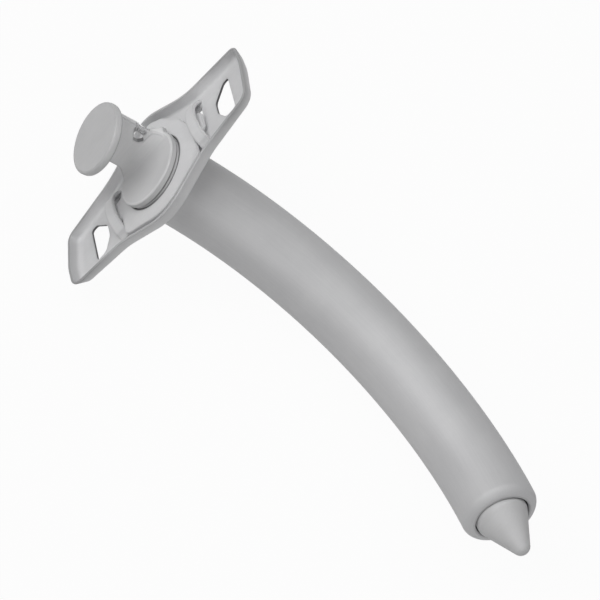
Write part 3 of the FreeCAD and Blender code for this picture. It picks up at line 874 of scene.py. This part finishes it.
def makeCollar():
    earFoot, earTop = collar["ear"]
    half = [
        (0.0, collar["peak"], 3.0),
        (3.35, collar["peak"] - 2.1, 3.0),
        (6.88, collar["peak"] - 6.3, 1.5),
        (8.26, earTop, 0.8),
        (collar["earReach"], earTop, 1.0),
        (collar["earReach"], earFoot, 1.0),
        (collar["side"], earFoot, 0.4),
        (collar["side"], -5.1, 1.5),
        (0.0, -9.4, 8.0),
    ]
    corners = half + [(-x, y, radius) for x, y, radius in reversed(half) if x > 0]
    top = collar["bottom"] + collar["thick"]

    def topAt(x, y):
        out = math.hypot(x, y)
        share = (collar["seatRadius"] - out) / (collar["seatRadius"] - collar["seatInner"])
        share = min(1.0, max(0.0, share))
        slope = 0.7 * share + 0.3 * share * share * (3 - 2 * share)
        return top + (collar["seatTop"] - top) * slope

    def lowAt(x, y):
        return collar["bottom"]

    outer = outlineOf(corners, 0.3)
    hole = circleOf(collar["hole"], steps=144)
    edge = collar["edge"]
    bm = bmesh.new()
    addRings(bm, edgeRings(outer, 1, topAt, lowAt, edge))
    addRings(bm, edgeRings(hole, -1, topAt, lowAt, edge))
    inner = shifted(outer, -edge)
    reaches = (collar["hole"] + edge, 6.28, 6.4, 6.55)
    for heightAt in (topAt, lowAt):
        addRings(bm, [[Vector((p.x, p.y, heightAt(p.x, p.y))) for p in circleOf(r, steps=144)]
                      for r in reaches])
        fillSheet(bm, inner, [circleOf(reaches[-1], steps=144)], heightAt, 0.4)
    piece = toObject(bm, "collarPlate", "plate_metal", 0.001)

    def shadedAndStained(spot):
        # painted shade: the collar goes dark under the flange's rim, and a dark patch lies round
        # the catch post's foot
        underFlange = 1 - ramp(math.hypot(spot.x, spot.y), 6.2, 6.4)
        byPost = 1 - ramp(math.hypot(spot.x + 0.3, spot.y - 8.6), 1.2, 2.6)
        return max(underFlange, collar["postPaintedShade"] * byPost)

    return finish(piece, "tube", "plate_metal", "collar_plate", shadeAndTarnishAt=shadedAndStained)


# ---- the obturator's handle
handle = {
    "seat": 1.8,
    "flangeRadius": 6.2,
    "flangeThick": 1.17,
    "bossRadius": 5.25,
    "bossLength": 1.4,
    "webFront": 3.5,
    "webThick": 1.17,
    "webHalf": 3.85,
    "webEdge": 0.12,
    "notchLeft": 1.3,
    "notchLow": 1.4,  # above the flange
    "notchHigh": 4.05,
    "footFlare": 1.1,
    "footBlend": 1.9,
    "headBlend": 1.3,
    "discRadius": 5.75,
    "discThick": 1.38,
    "discHeight": 12.7,
    "discCentre": 0.75,
    "tiltSide": 4.2,
    "tiltBack": 4.0,
    "flangeBevel": 0.22,
    "flangeSoft": 0.3,
    "discSoft": 0.45,
    "voxel": 0.09,
    "smoothing": 6,
    "bossTarnish": 0.15,
    # painted shade on the flange's side, on the disc and the web just under it, and in the notch
    "sidePaintedShade": 0.4,
    "discPaintedShade": 0.25,
    "notchPaintedShade": 0.85,
}


def makeHandle():
    face = handle["seat"] + handle["flangeThick"]
    bm = bmesh.new()
    bevel = handle["flangeBevel"]
    lathe(bm, divided(softProfile([
        (0.001, handle["seat"] - handle["bossLength"], 0),
        (handle["bossRadius"], handle["seat"] - handle["bossLength"], 0.3),
        (handle["bossRadius"], handle["seat"], 0.05),
        (handle["flangeRadius"] - bevel, handle["seat"], 0.05),
        (handle["flangeRadius"], handle["seat"] + bevel, 0.08),
        (handle["flangeRadius"], face, handle["flangeSoft"]),
        (0.001, face, 0),
    ]), 0.4), 128)
    tilt = Matrix.Rotation(math.radians(-handle["tiltSide"]), 4, "Y")
    tilt = tilt @ Matrix.Rotation(math.radians(handle["tiltBack"]), 4, "X")
    place = Matrix.Translation((0, handle["discCentre"], handle["discHeight"])) @ tilt
    lathe(bm, divided(softProfile([
        (0.001, -handle["discThick"], 0),
        (handle["discRadius"], -handle["discThick"], handle["discSoft"]),
        (handle["discRadius"], 0, handle["discSoft"]),
        (0.001, 0, 0),
    ]), 0.4), 128, place)

    half = handle["webHalf"]
    flare = handle["footFlare"]
    tall = handle["discHeight"]
    notchLow = face + handle["notchLow"]
    notchHigh = face + handle["notchHigh"]
    notchLeft = handle["notchLeft"]
    outline = outlineOf([
        (-half - flare, handle["seat"] + 0.1, 0.0),
        (half + flare, handle["seat"] + 0.1, 0.0),
        (half + flare, face, 0.3),
        (half, notchLow - 0.15, 0.5),
        (half * 0.55, notchLow, 0.2),
        (notchLeft + 0.5, notchLow, 0.3),
        (notchLeft, notchLow + 0.6, 0.3),
        (notchLeft, notchLow + 1.4, 0.3),
        (half * 0.8, notchHigh - 0.1, 0.4),
        (half, notchHigh, 0.1),
        (half, tall - 0.4, 0.0),
        (-half, tall - 1.0, 0.0),
        (-half, notchLow, 1.5),
        (-half - flare, face, 0.3),
    ], 0.15)
    front = -handle["webFront"]
    back = front - handle["webThick"]
    under = tall - handle["discThick"]

    def blend(distance, radius):
        if distance >= radius:
            return 0.0
        drop = max(0.0, 1 - ((radius - max(distance, 0.0)) / radius) ** 2)
        return radius * (1 - math.sqrt(drop))

    def frontAt(x, y):
        foot = blend(y - face, handle["footBlend"])
        head = blend(under - 0.25 - y, handle["headBlend"])
        return front + max(foot, head)

    def backAt(x, y):
        return back - blend(y - face, 0.4) - blend(under - 0.3 - y, 0.5)

    web = bmesh.new()
    roundedPlate(web, outline, [], frontAt, backAt, handle["webEdge"], 0.3)
    upright = Matrix(((1, 0, 0, 0), (0, 0, -1, 0), (0, 1, 0, 0), (0, 0, 0, 1)))
    bmesh.ops.transform(web, matrix=upright, verts=web.verts)
    webMesh = bpy.data.meshes.new("webPart")
    web.to_mesh(webMesh)
    web.free()
    bm.from_mesh(webMesh)
    bpy.data.meshes.remove(webMesh)
    piece = toObject(bm, "obturatorHandle", "obturator_metal", 0.001)
    remesh = piece.modifiers.new("join", "REMESH")
    remesh.mode = "VOXEL"
    remesh.voxel_size = handle["voxel"]
    remesh.use_smooth_shade = True
    smooth = piece.modifiers.new("soften", "SMOOTH")
    smooth.factor = 0.5
    smooth.iterations = handle["smoothing"]
    bakeModifiers(piece)
    piece.data.materials.clear()
    piece.data.materials.append(metals["obturator_metal"]["material"])
    piece.data.shade_smooth()

    def shadedAndStained(spot):
        # painted shade: the disc and the web just under it, the flange's underside and side at the
        # rim, and the notch's walls; the rest inside the rim gets an even tarnish
        atRim = math.hypot(spot.x, spot.y) > handle["flangeRadius"] - bevel - 0.2
        shares = [handle["discPaintedShade"] * ramp(spot.z, under - 1.0, under)]
        if atRim:
            shares.append(1 - ramp(spot.z, handle["seat"] + 0.1, handle["seat"] + 0.35))
            shares.append(handle["sidePaintedShade"] * (1 - ramp(spot.z, face - 0.3, face - 0.05)))
        else:
            shares.append(handle["bossTarnish"])
        inWeb = back + 0.15 < -spot.y < front - 0.15 and spot.x < half - 0.3
        if inWeb and notchLow < spot.z < notchHigh:
            shares.append(handle["notchPaintedShade"] * ramp(spot.x, notchLeft - 0.2, notchLeft + 0.1))
        return max(shares)

    return finish(piece, "obturator", "obturator_metal", "obturator_handle", shadeAndTarnishAt=shadedAndStained)


# ---- the catch
catch = {
    "at": (1.45, 7.6),
    "postRadius": 0.65,
    "postTop": 4.55,
    "pivot": 0.36,
    "clearance": 0.05,
    "thick": 0.7,
    "reach": 3.4,
    "side": 0.15,
    "taper": 0.75,
    "gap": 0.05,
    "head": 0.35,
}


def makeCatchPost():
    base = collar["bottom"] + collar["thick"]
    neck = catch["postTop"]
    under = neck + catch["thick"] + 2 * catch["gap"]
    top = under + catch["head"]
    bm = bmesh.new()
    lathe(bm, divided(softProfile([
        (0.001, base, 0),
        (catch["postRadius"] + 0.22, base, 0.02),
        (catch["postRadius"], base + 0.3, 0.2),
        (catch["postRadius"], neck, 0.08),
        (catch["pivot"], neck, 0.02),
        (catch["pivot"], under, 0.02),
        (catch["postRadius"], under, 0.06),
        (catch["postRadius"], top, 0.25),
        (0.001, top, 0),
    ], 0.05), 0.3), 48, Matrix.Translation((*catch["at"], 0)))
    piece = toObject(bm, "catchPost", "catch_metal")
    return finish(piece, "tube", "catch_metal", "catch_post")


def makeCatchLever():
    x, y = catch["at"]
    wide = catch["postRadius"] + catch["side"]
    narrow = wide * catch["taper"]
    low = catch["postTop"] + catch["gap"]
    outline = outlineOf([
        (x + wide, y + wide, wide * 0.95),
        (x - catch["reach"], y + narrow, narrow * 0.9),
        (x - catch["reach"], y - narrow, narrow * 0.9),
        (x + wide, y - wide, wide * 0.95),
    ], 0.08)
    hole = circleOf(catch["pivot"] + catch["clearance"], catch["at"], 32)
    bm = bmesh.new()
    roundedPlate(bm, outline, [hole], lambda a, b: low + catch["thick"], lambda a, b: low, 0.1, 0.3)
    piece = toObject(bm, "catchLever", "catch_metal", 0.001)
    return finish(piece, "catch", "catch_metal", "catch_lever")


makeTube()
makeRod()
makeNose()
makeNeckPlate()
makeCollar()
makeHandle()
makeCatchPost()
makeCatchLever()

floorSettings = {"size": 6.0, "colour": 0.6, "glow": 0.955}


def makeFloor():
    mesh = bpy.data.meshes.new("tableTop")
    half = floorSettings["size"] / 2
    corners = [(-half, -half, 0), (half, -half, 0), (half, half, 0), (-half, half, 0)]
    mesh.from_pydata(corners, [], [(0, 1, 2, 3)])
    table = bpy.data.objects.new("tableTop", mesh)
    bpy.context.scene.collection.objects.link(table)
    material = bpy.data.materials.new("tableWhite")
    material.use_nodes = True
    tree = material.node_tree
    tree.nodes.clear()
    out = nodeAt(tree, "ShaderNodeOutputMaterial", 600, 0)
    paint = nodeAt(tree, "ShaderNodeBsdfDiffuse", 0, 100)
    paint.inputs["Color"].default_value = (floorSettings["colour"],) * 3 + (1.0,)
    glow = nodeAt(tree, "ShaderNodeEmission", 0, -100)
    glow.inputs["Strength"].default_value = 1.0
    mixed = nodeAt(tree, "ShaderNodeMixShader", 300, 0)
    path = nodeAt(tree, "ShaderNodeLightPath", -400, 300)
    seen = nodeAt(tree, "ShaderNodeMath", -200, 300, operation="MAXIMUM")
    seenToo = nodeAt(tree, "ShaderNodeMath", -50, 300, operation="MAXIMUM")
    share = nodeAt(tree, "ShaderNodeMath", 100, 300, operation="MULTIPLY")
    share.inputs[1].default_value = floorSettings["glow"]
    tree.links.new(path.outputs["Is Camera Ray"], seen.inputs[0])
    tree.links.new(path.outputs["Is Glossy Ray"], seen.inputs[1])
    tree.links.new(seen.outputs[0], seenToo.inputs[0])
    tree.links.new(path.outputs["Is Transmission Ray"], seenToo.inputs[1])
    tree.links.new(seenToo.outputs[0], share.inputs[0])
    tree.links.new(share.outputs[0], mixed.inputs[0])
    tree.links.new(paint.outputs[0], mixed.inputs[1])
    tree.links.new(glow.outputs[0], mixed.inputs[2])
    tree.links.new(mixed.outputs[0], out.inputs["Surface"])
    mesh.materials.append(material)


makeFloor()

lamps = [
    {"name": "keyLamp", "at": (-0.6, -0.24, 1.02), "size": 0.9, "power": 6.9},
    {"name": "fillLamp", "at": (0.75, -0.4, 0.84), "size": 0.9, "power": 3.5},
    {"name": "backLamp", "at": (-0.3, 0.6, 1.0), "size": 0.9, "power": 3.0},
]
worldStrength = 0.125


def makeLamps():
    for item in lamps:
        data = bpy.data.lights.new(item["name"], "AREA")
        data.shape = "DISK"
        data.size = item["size"]
        data.energy = item["power"]
        lamp = bpy.data.objects.new(item["name"], data)
        bpy.context.scene.collection.objects.link(lamp)
        at = Vector(item["at"])
        lamp.matrix_world = Matrix.Translation(at) @ at.to_track_quat("Z", "Y").to_matrix().to_4x4()
    world = bpy.data.worlds.new("studio")
    bpy.context.scene.world = world
    world.use_nodes = True
    tree = world.node_tree
    tree.nodes.clear()
    out = nodeAt(tree, "ShaderNodeOutputWorld", 400, 0)
    ground = nodeAt(tree, "ShaderNodeBackground", 200, 0)
    ground.inputs["Color"].default_value = (1.0, 1.0, 1.0, 1.0)
    ground.inputs["Strength"].default_value = worldStrength
    tree.links.new(ground.outputs[0], out.inputs["Surface"])


makeLamps()
bpy.context.scene.view_settings.view_transform = "Standard"
print("stage set")
